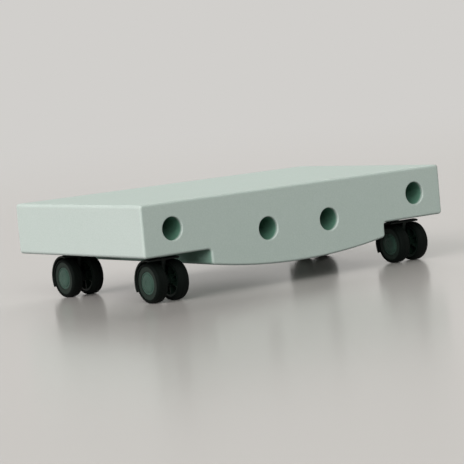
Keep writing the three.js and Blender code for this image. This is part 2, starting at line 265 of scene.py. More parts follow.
def foamFinish():
    made = Finish("mintFoam", {"Specular IOR Level": foam["shine"]})
    at = made.place()
    warp = {0: made.noise(at, foam["warpSize"]), 1: (foam["warpDepth"],) * 3, 2: at}
    bent = made.node("ShaderNodeVectorMath", {"operation": "MULTIPLY_ADD"}, warp)
    cells = {"Vector": bent, "Scale": 1 / foam["beadSize"]}
    edge = made.node("ShaderNodeTexVoronoi", {"feature": "DISTANCE_TO_EDGE"}, cells)
    tint = made.node("ShaderNodeTexVoronoi", sockets=cells, output="Color")
    tone = made.node("ShaderNodeSeparateColor", sockets={0: tint})
    grain = made.noise(at, foam["grainSize"], detail=4)
    cloud = made.noise(at, foam["cloudSize"])
    seam = 1 - made.ramp(edge, 0.0, foam["seamWidth"])
    pale = tone * foam["toneShare"] + cloud * foam["cloudShare"] + grain * foam["grainShare"]
    body = made.between(pale - foam["paleDrop"], foam["colour"], foam["paleColour"])
    skin = made.between(seam * foam["seamShare"], body, foam["seamColour"])
    # Painted shade: the colour goes towards shadeColour where the 'shade' mark is set, inside the
    # holes and on the steps
    shade = made.node("ShaderNodeAttribute", {"attribute_name": "shade"}, output="Fac")
    made.feed("Base Color", made.between(shade, skin, foam["shadeColour"]))
    rough = foam["roughness"] + grain * foam["grainRoughness"]
    made.feed("Roughness", rough + seam * foam["seamRoughness"])
    bead = made.ramp(edge, 0.0, foam["beadWidth"])
    made.bump(bead * foam["beadBump"] + grain * foam["grainBump"], foam["bumpDepth"])
    return made.material


# Moulded plastics: a fine spark-eroded grain and a little bloom, alike on all four
plastics = {
    "rail": {"colour": colour(50, 57, 54), "bloom": colour(66, 74, 70), "roughness": 0.5},
    "hood": {"colour": colour(15, 22, 19), "bloom": colour(24, 33, 29), "roughness": 0.42},
    "wheel": {"colour": colour(17, 29, 23), "bloom": colour(28, 42, 35), "roughness": 0.38},
    "cap": {"colour": colour(48, 71, 61), "bloom": colour(66, 91, 80), "roughness": 0.34},
}
moulding = {
    "grainSize": 0.00045,
    "cloudSize": 0.018,
    "cloudRange": (0.35, 0.75),
    "cloudShare": 0.5,
    "grainShare": 0.2,
    "grainRoughness": 0.12,
    "cloudRoughness": 0.08,
    "bumpDepth": 0.00003,
    "shine": 0.25,
}


def plasticFinish(kind):
    made = Finish(kind + "Plastic", {"Specular IOR Level": moulding["shine"]})
    at = made.place()
    grain = made.noise(at, moulding["grainSize"], detail=2)
    cloud = made.ramp(made.noise(at, moulding["cloudSize"]), *moulding["cloudRange"])
    values = plastics[kind]
    bloom = cloud * moulding["cloudShare"] + grain * moulding["grainShare"]
    made.feed("Base Color", made.between(bloom, values["colour"], values["bloom"]))
    rough = values["roughness"] + grain * moulding["grainRoughness"]
    made.feed("Roughness", rough + cloud * moulding["cloudRoughness"])
    made.bump(grain, moulding["bumpDepth"])
    return made.material


# Tread: soft rubber, with fine scuffs that run round the wheel and a little dust
rubber = {
    "colour": colour(9, 13, 11),
    "dustColour": colour(34, 40, 37),
    "grainSize": 0.0006,
    "scuffSize": 0.004,
    "scuffStretch": (0.08, 3.0, 1.0),
    "scuffRange": (0.45, 0.8),
    "scuffShare": 0.4,
    "grainShare": 0.1,
    "roughness": 0.6,
    "scuffRoughness": 0.15,
    "grainRoughness": 0.1,
    "grainBump": 0.6,
    "scuffBump": 0.4,
    "bumpDepth": 0.00005,
    "shine": 0.08,
}


def rubberFinish():
    made = Finish("treadRubber", {"Specular IOR Level": rubber["shine"]})
    grain = made.noise(made.place(), rubber["grainSize"])
    around = made.stretched(made.place("UV"), rubber["scuffStretch"])
    scuff = made.ramp(made.noise(around, rubber["scuffSize"], detail=5), *rubber["scuffRange"])
    dust = scuff * rubber["scuffShare"] + grain * rubber["grainShare"]
    made.feed("Base Color", made.between(dust, rubber["colour"], rubber["dustColour"]))
    rough = rubber["roughness"] + scuff * rubber["scuffRoughness"]
    made.feed("Roughness", rough + grain * rubber["grainRoughness"])
    made.bump(grain * rubber["grainBump"] + scuff * rubber["scuffBump"], rubber["bumpDepth"])
    return made.material


# Zinc-plated steel: a faint spangle and hairline scratches
zinc = {
    "colour": colour(196, 200, 203),
    "shadeColour": colour(160, 166, 171),
    "spangleSize": 0.0025,
    "scratchSize": 0.000375,
    "scratchStretch": (0.05, 1.0, 1.0),
    "spangleShare": 0.5,
    "scratchShare": 0.3,
    "roughness": 0.26,
    "spangleRoughness": 0.1,
    "scratchRoughness": 0.12,
    "bumpDepth": 0.00001,
}


def zincFinish():
    made = Finish("zincSteel", {"Metallic": 1.0})
    at = made.place()
    cells = {"Vector": at, "Scale": 1 / zinc["spangleSize"]}
    tint = made.node("ShaderNodeTexVoronoi", sockets=cells, output="Color")
    spangle = made.node("ShaderNodeSeparateColor", sockets={0: tint})
    scratch = made.noise(made.stretched(at, zinc["scratchStretch"]), zinc["scratchSize"], detail=4)
    shade = spangle * zinc["spangleShare"] + scratch * zinc["scratchShare"]
    made.feed("Base Color", made.between(shade, zinc["colour"], zinc["shadeColour"]))
    rough = zinc["roughness"] + spangle * zinc["spangleRoughness"]
    made.feed("Roughness", rough + scratch * zinc["scratchRoughness"])
    made.bump(scratch, zinc["bumpDepth"])
    return made.material


finishes = {
    "foam": foamFinish(),
    "rail_plastic": plasticFinish("rail"),
    "hood_plastic": plasticFinish("hood"),
    "wheel_plastic": plasticFinish("wheel"),
    "cap_plastic": plasticFinish("cap"),
    "tread_rubber": rubberFinish(),
    "zinc_steel": zincFinish(),
}
print("finishes made:", ", ".join(finishes))


# Rounded edges: the angle of one step, and the close points either side that keep flats flat
edges = {
    "arcStep": 11.25,
    "leastSteps": 2,
    "support": 0.0004,
    "supportShare": 0.25,
    "sharpAngle": 40,
    "merge": 0.000001,
}


def pieceOf(name, mesh):
    made = bpy.data.objects.new(name, mesh)
    scene.collection.objects.link(made)
    return made


def meshOf(name, points, faces):
    mesh = bpy.data.meshes.new(name)
    mesh.from_pydata([tuple(point) for point in points], [], faces)
    return mesh


# Doubles merged, faces turned outwards, soft shading broken only at sharp edges
def cleaned(mesh):
    work = bmesh.new()
    work.from_mesh(mesh)
    bmesh.ops.remove_doubles(work, verts=work.verts, dist=edges["merge"])
    bmesh.ops.recalc_face_normals(work, faces=work.faces)
    work.to_mesh(mesh)
    work.free()
    shaded(mesh)
    return mesh


def shaded(mesh):
    mesh.shade_smooth()
    mesh.set_sharp_from_angle(angle=math.radians(edges["sharpAngle"]))


# A piece's mesh by itself, for copies
def loose(piece):
    mesh = piece.data
    bpy.data.objects.remove(piece)
    return mesh


# The modifiers worked into a plain mesh
def settle(piece):
    graph = bpy.context.evaluated_depsgraph_get()
    mesh = bpy.data.meshes.new_from_object(piece.evaluated_get(graph))
    piece.modifiers.clear()
    piece.data = mesh
    shaded(mesh)


def carve(piece, operation, *tools):
    for tool in tools:
        step = piece.modifiers.new(tool.name, "BOOLEAN")
        step.operation = operation
        step.solver = "EXACT"
        step.object = tool
    settle(piece)
    for tool in tools:
        bpy.data.objects.remove(tool)


# A line through corners (across, along, radius), each rounded to its radius. A corner's cut is how
# far from it the arc starts and ends. An arc has a close point either side.
def softLine(corners, closed=True):
    count = len(corners)
    spots = [Vector(corner[:2]) for corner in corners]
    cuts = []
    for i, corner in enumerate(corners):
        if corner[2] == 0 or (not closed and i in (0, count - 1)):
            cuts.append(0)
            continue
        back = spots[i - 1] - spots[i]
        ahead = spots[(i + 1) % count] - spots[i]
        cuts.append(corner[2] / math.tan(back.angle(ahead) / 2))
    made = []
    for i, at in enumerate(spots):
        if cuts[i] == 0:
            made.append(at)
            continue
        last, after = i - 1, (i + 1) % count
        back = (spots[last] - at).normalized()
        ahead = (spots[after] - at).normalized()
        radius = corners[i][2]
        centre = at + (back + ahead).normalized() * math.hypot(radius, cuts[i])
        start = at + back * cuts[i] - centre
        end = at + ahead * cuts[i] - centre
        sweep = math.atan2(start.x * end.y - start.y * end.x, start.dot(end))
        steps = max(edges["leastSteps"], round(abs(math.degrees(sweep)) / edges["arcStep"]))
        spareBack = (spots[last] - at).length - cuts[i] - cuts[last]
        spareAhead = (spots[after] - at).length - cuts[i] - cuts[after]
        nearBack = min(edges["support"], spareBack * edges["supportShare"])
        nearAhead = min(edges["support"], spareAhead * edges["supportShare"])
        made.append(centre + start + back * nearBack)
        for step in range(steps + 1):
            made.append(centre + Matrix.Rotation(sweep * step / steps, 2) @ start)
        made.append(centre + end + ahead * nearAhead)
    return made


# A profile of (radius, along) turned about the X axis, with its UV laid out in metres. A point on
# the axis is one point for all sides.
def turned(name, profile, sides, closed=True):
    count = len(profile)
    points, rings = [], []
    for spot in profile:
        ring = []
        for side in range(sides if spot.x > 0 else 1):
            angle = math.tau * side / sides
            ring.append(len(points))
            points.append((spot.y, spot.x * math.sin(angle), spot.x * math.cos(angle)))
        rings.append(ring)
    faces, layout = [], []
    widest = max(spot.x for spot in profile)
    run = 0
    for i in range(count if closed else count - 1):
        first, second = rings[i], rings[(i + 1) % count]
        length = (profile[(i + 1) % count] - profile[i]).length
        for side in range(sides):
            spots = [(first, side, run), (first, side + 1, run)]
            spots += [(second, side + 1, run + length), (second, side, run + length)]
            face, uvs = [], []
            for ring, turn, along in spots:
                corner = ring[turn % len(ring)]
                if corner not in face:
                    face.append(corner)
                    uvs.append((math.tau * turn / sides * widest, along))
            if len(face) > 2:
                faces.append(face)
                layout.extend(uvs)
        run += length
    mesh = meshOf(name, points, faces)
    uv = mesh.uv_layers.new(name="round")
    for loop, spot in zip(uv.data, layout):
        loop.uv = spot
    return mesh


# The (level, inset) of each section of a block that is rounded over at both ends
def roundedSections(low, high, edge):
    steps = round(90 / edges["arcStep"])
    sections = [(low, edge + edges["support"])]
    for step in range(steps + 1):
        turn = math.pi / 2 * (1 - step / steps)
        sections.append((low + edge * (1 - math.sin(turn)), edge * (1 - math.cos(turn))))
    sections.append((low + edge + edges["support"], 0))
    return sections + [(low + high - level, inset) for level, inset in reversed(sections)]


# A closed line of (x, y) pulled up from one height to another
def slab(name, corners, low, high, edge):
    outline = softLine(corners)
    ways = outwardWays(outline)
    sections = roundedSections(low, high, edge)
    points = []
    for level, inset in sections:
        points += [(*(spot - way * inset), level) for spot, way in zip(outline, ways)]
    return meshOf(name, points, blockFaces(len(outline), len(sections)))


# The way that faces out at each point of a line that runs anticlockwise
def outwardWays(outline):
    ways = []
    for i, at in enumerate(outline):
        along = (outline[(i + 1) % len(outline)] - at).normalized()
        along += (at - outline[i - 1]).normalized()
        ways.append(Vector((along.y, -along.x)).normalized())
    return ways


def tubeFaces(around, sections):
    faces = []
    for section in range(sections - 1):
        for i in range(around):
            first, second = section * around, (section + 1) * around
            after = (i + 1) % around
            faces.append((first + i, first + after, second + after, second + i))
    return faces


def blockFaces(around, sections):
    last = (sections - 1) * around
    closing = [tuple(range(around - 1, -1, -1)), tuple(range(last, last + around))]
    return tubeFaces(around, sections) + closing


# Gives a piece its finish, its body and the nodes that it stands for
def dress(piece, body, slot, *nodes):
    piece.data.materials.clear()
    piece.data.materials.append(finishes[slot])
    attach(piece, body)
    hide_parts(*nodes)


def copyTo(mesh, name, matrix):
    made = mesh.copy()
    made.name = name
    made.transform(matrix)
    return pieceOf(name, made)


# Deck: its ends, steps and belly are arcs and flats, and four holes cross it. "holes" gives how far
# from the middle they are and how high above the underside of the ends, the same on both sides.
deck = {
    "stepFromEnd": 0.098,
    "stepDepth": 0.019,
    "sideEdge": 0.003,
    "endEdge": 0.004,
    "stepEdge": 0.005,
    "stepFoot": 0.004,
    "bellySteps": 72,
    "shortRun": 0.0016,
    "longRun": 0.02,
    "sameWay": 0.99999,
    "leastFace": 1e-9,
    "holes": ((0.191, 0.032), (0.048, 0.015)),
    "holeRadius": 0.0145,
    "holeMouth": 0.0012,
    "holeSides": 72,
    "holeFade": 0.005,
    # painted shade: how strong it is on the steps, how far past them it reaches, and the slack of
    # where it is marked
    "stepPaintedShade": 0.78,
    "paintedShadeReach": 0.035,
    "paintedShadeSlack": 0.0003,
    "pocketGap": 0.0003,
    "pocketEdge": 0.0003,
    "pocketOver": 0.003,
    "pocketCorner": 0.008,
}


# Points on an arc, each with the way that faces out
def arcPoints(centre, radius, start, end, hollow=False, steps=None):
    steps = steps or max(edges["leastSteps"], round(abs(end - start) / edges["arcStep"]))
    made = []
    for step in range(steps + 1):
        angle = math.radians(start + (end - start) * step / steps)
        way = Vector((math.cos(angle), math.sin(angle)))
        made.append((Vector(centre) + way * radius, way * (-1 if hollow else 1)))
    return made


# The deck seen from its side, as points with the way that faces out. A long or straight run gets a
# close point at both its ends.
def deckOutline(box, underside):
    low, high = box
    step = high.x - deck["stepFromEnd"]
    bow = underside - deck["stepDepth"] - low.z
    bowRadius = (step * step + bow * bow) / (2 * bow)
    bowCentre = Vector((0, low.z + bowRadius))
    end, foot, lip = deck["endEdge"], deck["stepFoot"], deck["stepEdge"]
    lipX = lip - step
    lipCentre = Vector((lipX, bowCentre.y - math.sqrt((bowRadius - lip) ** 2 - lipX**2)))
    reach = math.degrees(math.atan2(lipCentre.y - bowCentre.y, lipCentre.x)) + 360
    half = arcPoints((low.x + end, high.z - end), end, 90, 180)
    half += arcPoints((low.x + end, underside + end), end, 180, 270)
    half += arcPoints((-step - foot, underside - foot), foot, 90, 0, hollow=True)
    half += arcPoints(lipCentre, lip, 180, reach)
    belly = arcPoints(bowCentre, bowRadius, reach, 540 - reach, steps=deck["bellySteps"])
    flipped = [(Vector((-at.x, at.y)), Vector((-way.x, way.y))) for at, way in reversed(half)]
    spots = half + belly[1:-1] + flipped
    made = []
    for i, (at, way) in enumerate(spots):
        made.append((at, way))
        after, afterWay = spots[(i + 1) % len(spots)]
        gap = after - at
        straight = gap.length > deck["shortRun"] and way.dot(afterWay) > deck["sameWay"]
        if straight or gap.length > deck["longRun"]:
            near = gap.normalized() * edges["support"]
            made += [(at + near, way), (after - near, afterWay)]
    return made


# The rings of a hole, from one side of the deck to the other
def holePoints(x, z, rims):
    sides = deck["holeSides"]
    turns = [math.tau * side / sides for side in range(sides)]
    made = []
    for y, radius in rims:
        made += [(x + radius * math.cos(turn), y, z + radius * math.sin(turn)) for turn in turns]
    return made


# The flat between loops as triangles. Points in the middle of a straight run come out in triangles
# without area, so those are dropped and the points put back.
def flatFaces(loops, points):
    flat = [[Vector((points[i][0], points[i][2], 0)) for i in loop] for loop in loops]
    order = [i for loop in loops for i in loop]
    spots = [spot for loop in flat for spot in loop]
    faces = []
    for face in tessellate_polygon(flat):
        if area_tri(*(spots[i] for i in face)) > deck["leastFace"]:
            faces.append(tuple(order[i] for i in face))
    used = {i for face in faces for i in face}
    for loop in loops:
        starts = [at for at, i in enumerate(loop) if i in used]
        for at, after in zip(starts, starts[1:] + [starts[0] + len(loop)]):
            run = [loop[spot % len(loop)] for spot in range(at, after + 1)]
            if len(run) == 2:
                continue
            tips = {run[0], run[-1]}
            past = next(face for face in faces if tips <= set(face))
            third = next(i for i in past if i not in tips)
            faces.remove(past)
            faces += [(third, *pair) for pair in zip(run, run[1:])]
    return faces


def deckMesh(box, underside):
    low, high = box
    outline = deckOutline(box, underside)
    sections = roundedSections(low.y, high.y, deck["sideEdge"])
    points = []
    for y, inset in sections:
        spots = [at - way * inset for at, way in outline]
        points += [(spot.x, y, spot.y) for spot in spots]
    faces = tubeFaces(len(outline), len(sections))
    nearLoops = [list(range(len(outline)))]
    farLoops = [list(range(len(points) - len(outline), len(points)))]
    mouth, radius, sides = deck["holeMouth"], deck["holeRadius"], deck["holeSides"]
    rims = [(y, radius + inset) for y, inset in roundedSections(low.y, high.y, mouth)]
    fade = low.y + mouth + deck["holeFade"]
    half = len(rims) // 2
    rims[half:half] = [(fade, radius), (-fade, radius)]
    for x, height in deck["holes"]:
        for sign in (-1, 1):
            start = len(points)
            points += holePoints(sign * x, underside + height, rims)
            faces += [tuple(start + i for i in face) for face in tubeFaces(sides, len(rims))]
            nearLoops.append(list(range(start, start + sides)))
            farLoops.append(list(range(len(points) - sides, len(points))))
    faces += flatFaces(nearLoops, points) + flatFaces(farLoops, points)
    return cleaned(meshOf("deck", points, faces))


def rectangle(low, high, radius):
    return [
        (low[0], low[1], radius),
        (high[0], low[1], radius),
        (high[0], high[1], radius),
        (low[0], high[1], radius),
    ]


def clamped(value):
    return min(max(value, 0), 1)


# Painted shade: the foam is marked darker inside the holes, and less so on the steps and just
# beyond them, where shade falls under the ends
def markPaintedShade(mesh, high, underside):
    shade = mesh.attributes.new("shade", "FLOAT", "POINT")
    step = high.x - deck["stepFromEnd"]
    for vertex, mark in zip(mesh.vertices, shade.data):
        x, y, z = (abs(value) for value in vertex.co)
        away = min(math.hypot(x - holeX, z - underside - height) for holeX, height in deck["holes"])
        if away < deck["holeRadius"] + deck["paintedShadeSlack"]:
            mark.value = clamped((high.y - deck["holeMouth"] - y) / deck["holeFade"])
        elif z < underside + deck["paintedShadeSlack"]:
            beyond = (step - x) / deck["stepEdge"] if x < step else (x - step) / deck["paintedShadeReach"]
            inwards = (high.y - y) / deck["sideEdge"]
            mark.value = deck["stepPaintedShade"] * clamped(1 - beyond) * clamped(inwards)


def makeDeck():
    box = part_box("deck")
    rails = [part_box("front_rail"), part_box("rear_rail")]
    underside = rails[0][0].z
    piece = pieceOf("foamDeck", deckMesh(box, underside))
    gap = deck["pocketGap"]
    around = Vector((gap, gap, 0))
    pockets = []
    for low, high in rails:
        corners = rectangle(low - around, high + around, deck["pocketCorner"])
        under = low.z - deck["pocketOver"]
        mesh = slab("pocket", corners, under, high.z + gap, deck["pocketEdge"])
        pockets.append(pieceOf("pocket", cleaned(mesh)))
    carve(piece, "DIFFERENCE", *pockets)
    # paints shade into the holes and onto the steps
    markPaintedShade(piece.data, box[1], underside)
    dress(piece, "deck", "foam", "deck")
    print("deck made with", len(piece.data.polygons), "faces")


makeDeck()

# Casters: every one is made from the same shapes, about its swivel axis at floor level
deckEnds = ("front", "rear")
casters = [f"{end}_{side}" for end in deckEnds for side in ("left", "right")]
firstCaster = casters[0]
upright = Matrix.Rotation(math.radians(-90), 4, "Y")  # what is turned about X stands about Z
sideways = Matrix(((0, 0, 1, 0), (1, 0, 0, 0), (0, 1, 0, 0), (0, 0, 0, 1)))  # Z becomes X


def middle(node):
    low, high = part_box(node)
    return (low + high) / 2


def swivelPlace(caster):
    at = middle(caster + "_plate")
    return Matrix.Translation((at.x, at.y, 0))


def pieceName(group, part):
    first, *others = group.split("_")
    return first + "".join(word.title() for word in others) + part.title()


def lathe(name, corners, sides, closed=True):
    return cleaned(turned(name, softLine(corners, closed), sides, closed))


def roundBar(name, radius, low, high, sides, edge=0):
    corners = [(0, low, 0), (radius, low, edge), (radius, high, edge), (0, high, 0)]
    return lathe(name, corners, sides, closed=False)


def standing(mesh):
    mesh.transform(upright)
    return mesh


def shifted(mesh, x, y, z=0.0):
    mesh.transform(Matrix.Translation((x, y, z)))
    return mesh


# Screws: countersunk, with a cross recess, and a point that bites into the rail
screw = {
    "spacing": 0.027,
    "headRadius": 0.0038,
    "headRim": 0.0004,
    "headHeight": 0.0020,
    "headEdge": 0.0001,
    "coreRadius": 0.0016,
    "threadRadius": 0.0020,
    "threadPitch": 0.0014,
    "crestShare": (0.3, 0.4),
    "threadShare": 0.7,
    "threads": 5,
    "length": 0.011,
    "crossReach": 0.0023,
    "crossWidth": 0.00045,
    "crossDepth": 0.0013,
    "crossTaper": 0.45,
    "sides": 32,
    "seed": 4,
}


# The cross recess, which narrows as it goes up into the head
def crossCutter():
    long, thin = screw["crossReach"], screw["crossWidth"]
    quarter = [(long, -thin), (long, thin), (thin, thin)]
    outline = []
    for turn in range(4):
        outline += [Matrix.Rotation(turn * math.pi / 2, 2) @ Vector(spot) for spot in quarter]
    depth, taper = screw["crossDepth"], screw["crossTaper"]
    points = []
    for level, share in ((-depth, 2 - taper), (depth, taper)):
        points += [(spot.x * share, spot.y * share, level) for spot in outline]
    return pieceOf("cross", cleaned(meshOf("cross", points, blockFaces(len(outline), 2))))


def screwShape():
    head, core, crest = screw["headRadius"], screw["coreRadius"], screw["threadRadius"]
    edge, pitch = screw["headEdge"], screw["threadPitch"]
    corners = [(0, 0, 0), (head, 0, edge), (head, screw["headRim"], edge)]
    corners.append((core, screw["headHeight"], 0))
    for thread in range(screw["threads"]):
        foot = screw["headHeight"] + pitch / 2 + thread * pitch
        corners.append((core, foot, 0))
        corners += [(crest, foot + share * pitch, 0) for share in screw["crestShare"]]
        corners.append((core, foot + screw["threadShare"] * pitch, 0))
    corners.append((0, screw["length"], 0))
    piece = pieceOf("screw", standing(lathe("screw", corners, screw["sides"], closed=False)))
    carve(piece, "DIFFERENCE", crossCutter())
    return piece


# A screw at each corner of a square about each caster, turned at random
def makeScrews():
    shape = screwShape()
    spots = [swivelPlace(caster).translation for caster in casters]
    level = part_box(firstCaster + "_screw_1")[0].z
    piece = pieceOf("plateScrews", meshOf("plateScrews", [(at.x, at.y, level) for at in spots], []))
    values = {
        "Spacing": screw["spacing"],
        "Screw": shape,
        "Seed": screw["seed"],
        "Finish": finishes["zinc_steel"],
    }
    made = Recipe("screwRows", values)
    spacing = made.ask("Spacing")
    grid = {"Size X": spacing, "Size Y": spacing, "Vertices X": 2, "Vertices Y": 2}
    squares = made.copies(made.ask("Geometry"), made.node("GeometryNodeMeshGrid", sockets=grid))
    turns = {2: 0.0, 3: math.tau, 8: made.ask("Seed")}  # the least, the most and the seed
    spin = made.node("FunctionNodeRandomValue", {"data_type": "FLOAT"}, turns, output=1)
    shown = made.node("GeometryNodeObjectInfo", sockets={0: made.ask("Screw")}, output="Geometry")
    made.settleOn(piece, made.copies(made.realized(squares), shown, made.vector(z=spin)))
    bpy.data.objects.remove(shape)
    nodes = [f"{caster}_screw_{i + 1}" for caster in casters for i in range(4)]
    dress(piece, "deck", "zinc_steel", *nodes)
    print("screws made")


# Plate: rounded corners, countersunk for the screws
plate = {
    "corner": 0.005,
    "edge": 0.0004,
    "bore": 0.0043,
    "seatGap": 0.0003,
    "seatFrom": -0.002,
    "seatTo": 0.006,
    "sides": 48,
}


def seatCutter(x, y, level):
    gap, start, end = plate["seatGap"], plate["seatFrom"], plate["seatTo"]
    head = screw["headRadius"] + gap
    shank = screw["threadRadius"] + gap
    corners = [(0, start, 0), (head, start, 0), (head, screw["headRim"], 0)]
    corners += [(shank, screw["headHeight"], 0), (shank, end, 0), (0, end, 0)]
    mesh = standing(lathe("seat", corners, plate["sides"], closed=False))
    return pieceOf("seat", shifted(mesh, x, y, level))


def roundCutter(radius, low, high, x=0.0, y=0.0):
    mesh = standing(roundBar("round", radius, low, high, plate["sides"]))
    return pieceOf("round", shifted(mesh, x, y))


def screwSpots():
    half = screw["spacing"] / 2
    return [(x * half, y * half) for x in (-1, 1) for y in (-1, 1)]


def plateShape():
    low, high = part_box(firstCaster + "_plate")
    half = (high.x - low.x) / 2
    outline = rectangle((-half, -half), (half, half), plate["corner"])
    piece = pieceOf("plate", cleaned(slab("plate", outline, low.z, high.z, plate["edge"])))
    cutters = [roundCutter(plate["bore"], low.z - plate["bore"], high.z + plate["bore"])]
    cutters += [seatCutter(x, y, low.z) for x, y in screwSpots()]
    carve(piece, "DIFFERENCE", *cutters)
    return loose(piece)


# Kingpin: a riveted head, a groove for the hood's snap lip, and a rounded foot
kingpin = {
    "radius": 0.004,
    "headRadius": 0.0065,
    "headHeight": 0.0016,
    "headEdge": 0.0007,
    "foot": 0.0015,
    "footRadius": 0.003,
    "footRound": 0.0006,
    "grooveRadius": 0.0033,
    "grooveFromEnd": 0.006,
    "grooveHeight": 0.003,
    "fillet": 0.0003,
    "sides": 64,
}


def kingpinShape():
    low, high = (corner.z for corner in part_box(firstCaster + "_kingpin"))
    radius, soft, foot = kingpin["radius"], kingpin["fillet"], kingpin["footRound"]
    groove = low + kingpin["grooveFromEnd"]
    grooveTop = groove + kingpin["grooveHeight"]
    under = high - kingpin["headHeight"]
    profile = [
        (0, low, 0),
        (kingpin["footRadius"], low, foot),
        (radius, low + kingpin["foot"], foot),
        (radius, groove, soft),
        (kingpin["grooveRadius"], groove, soft),
        (kingpin["grooveRadius"], grooveTop, soft),
        (radius, grooveTop, soft),
        (radius, under, soft),
        (kingpin["headRadius"], under, soft),
        (kingpin["headRadius"], high, kingpin["headEdge"]),
        (0, high, 0),
    ]
    return standing(lathe("kingpin", profile, kingpin["sides"], closed=False))


# Axle: a plain pin with rounded ends
axle = {"radius": 0.003, "edge": 0.0006, "sides": 48}


def axleShape():
    low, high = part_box(firstCaster + "_axle")
    half = (high.x - low.x) / 2
    return roundBar("axle", axle["radius"], -half, half, axle["sides"], axle["edge"])


# Hood: a guard over the wheels on a web between them, with a barrel that turns on the kingpin
hood = {
    "trail": 0.018,
    "wheelRadius": 0.025,
    "gap": 0.0015,
    "wall": 0.0025,
    "halfWidth": 0.023,
    "frontAngle": 105,
    "tailAngle": -25,
    "arcStep": 3,
    "edge": 0.0008,
    "webHalf": 0.003,
    "webEdge": 0.0006,
    "bossRadius": 0.0065,
    "bossHalf": 0.007,
    "barrelRadius": 0.0065,
    "barrelFoot": 0.0289,
    "barrelTop": 0.0546,
    "neckRadius": 0.009,
    "neckFoot": 0.0262,
    "axleBore": 0.0032,
    "kingpinBore": 0.0043,
    "lipRadius": 0.0037,
    "lipHalf": 0.0009,
    "lipLevel": 0.0387,
    "boreFoot": 0.0309,
    "voxel": 0.0005,
    "smoothing": 3,
    "keepShare": 0.3,
    "sides": 64,
}


# A sector about the axle, seen along it, with its angles running up from the swivel side. It is
# part of a ring, or reaches the axle where its inner radius is 0.
def sectorCorners(inner, outer):
    start, end = hood["tailAngle"], hood["frontAngle"]
    steps = round((end - start) / hood["arcStep"])
    angles = [math.radians(start + (end - start) * step / steps) for step in range(steps + 1)]
    spots = [(outer, angle) for angle in angles]
    spots += [(inner, angle) for angle in reversed(angles)] if inner else [(0, 0)]
    return [(radius * math.cos(angle), radius * math.sin(angle), 0) for radius, angle in spots]


def sectorPiece(name, inner, outer, half, edge):
    mesh = cleaned(slab(name, sectorCorners(inner, outer), -half, half, edge))
    mesh.transform(Matrix.Translation((0, -hood["trail"], hood["wheelRadius"])) @ sideways)
    return pieceOf(name, mesh)


def crossBar(name, radius, half):
    mesh = roundBar(name, radius, -half, half, hood["sides"])
    return pieceOf(name, shifted(mesh, 0, -hood["trail"], hood["wheelRadius"]))


def kingpinBore():
    wide, lip = hood["kingpinBore"], hood["lipRadius"]
    low, high = hood["lipLevel"] - hood["lipHalf"], hood["lipLevel"] + hood["lipHalf"]
    top = hood["barrelTop"] + hood["wall"]
    corners = [(0, hood["boreFoot"], 0), (wide, hood["boreFoot"], 0), (wide, low, 0), (lip, low, 0)]
    corners += [(lip, high, 0), (wide, high, 0), (wide, top, 0), (0, top, 0)]
    return pieceOf("bore", standing(lathe("bore", corners, hood["sides"], closed=False)))


# The parts are joined, made one smooth skin and bored. The drum keeps the neck off the wheels.
def hoodShape():
    inner = hood["wheelRadius"] + hood["gap"]
    outer = inner + hood["wall"]
    piece = roundCutter(hood["neckRadius"], hood["neckFoot"], hood["barrelTop"])
    carve(piece, "DIFFERENCE", crossBar("drum", inner, 2 * hood["halfWidth"]))
    carve(
        piece,
        "UNION",
        sectorPiece("guard", inner, outer, hood["halfWidth"], hood["edge"]),
        sectorPiece("web", 0, (inner + outer) / 2, hood["webHalf"], hood["webEdge"]),
        crossBar("boss", hood["bossRadius"], hood["bossHalf"]),
        roundCutter(hood["barrelRadius"], hood["barrelFoot"], hood["barrelTop"]),
    )
    skin = piece.modifiers.new("skin", "REMESH")
    skin.mode = "VOXEL"
    skin.voxel_size = hood["voxel"]
    soft = piece.modifiers.new("soft", "SMOOTH")
    soft.iterations = hood["smoothing"]
    thin = piece.modifiers.new("thin", "DECIMATE")
    thin.ratio = hood["keepShare"]
    settle(piece)
    axleBore = crossBar("axleBore", hood["axleBore"], 2 * hood["bossHalf"])
    carve(piece, "DIFFERENCE", kingpinBore(), axleBore)
    print("hood made with", len(piece.data.polygons), "faces")
    return loose(piece)


# Wheel core: hub, web and rim are turned, and ribs stand on the inner side of the web.
# Places along the axle are measured from the wheel's inner face outwards.
wheel = {
    "bore": 0.0032,
    "hub": 0.007,
    "webInside": 0.010,
    "webOutside": 0.0125,
    "rimInside": 0.0177,
    "rim": 0.0207,
    "rimLow": 0.001,
    "rimHigh": 0.015,
    "recess": 0.0143,
    "edge": 0.0004,
    "fillet": 0.0008,
    "ribs": 6,
    "ribThickness": 0.0016,
    "ribFrom": 0.002,
    "ribBite": 0.0005,
    "sides": 96,
}


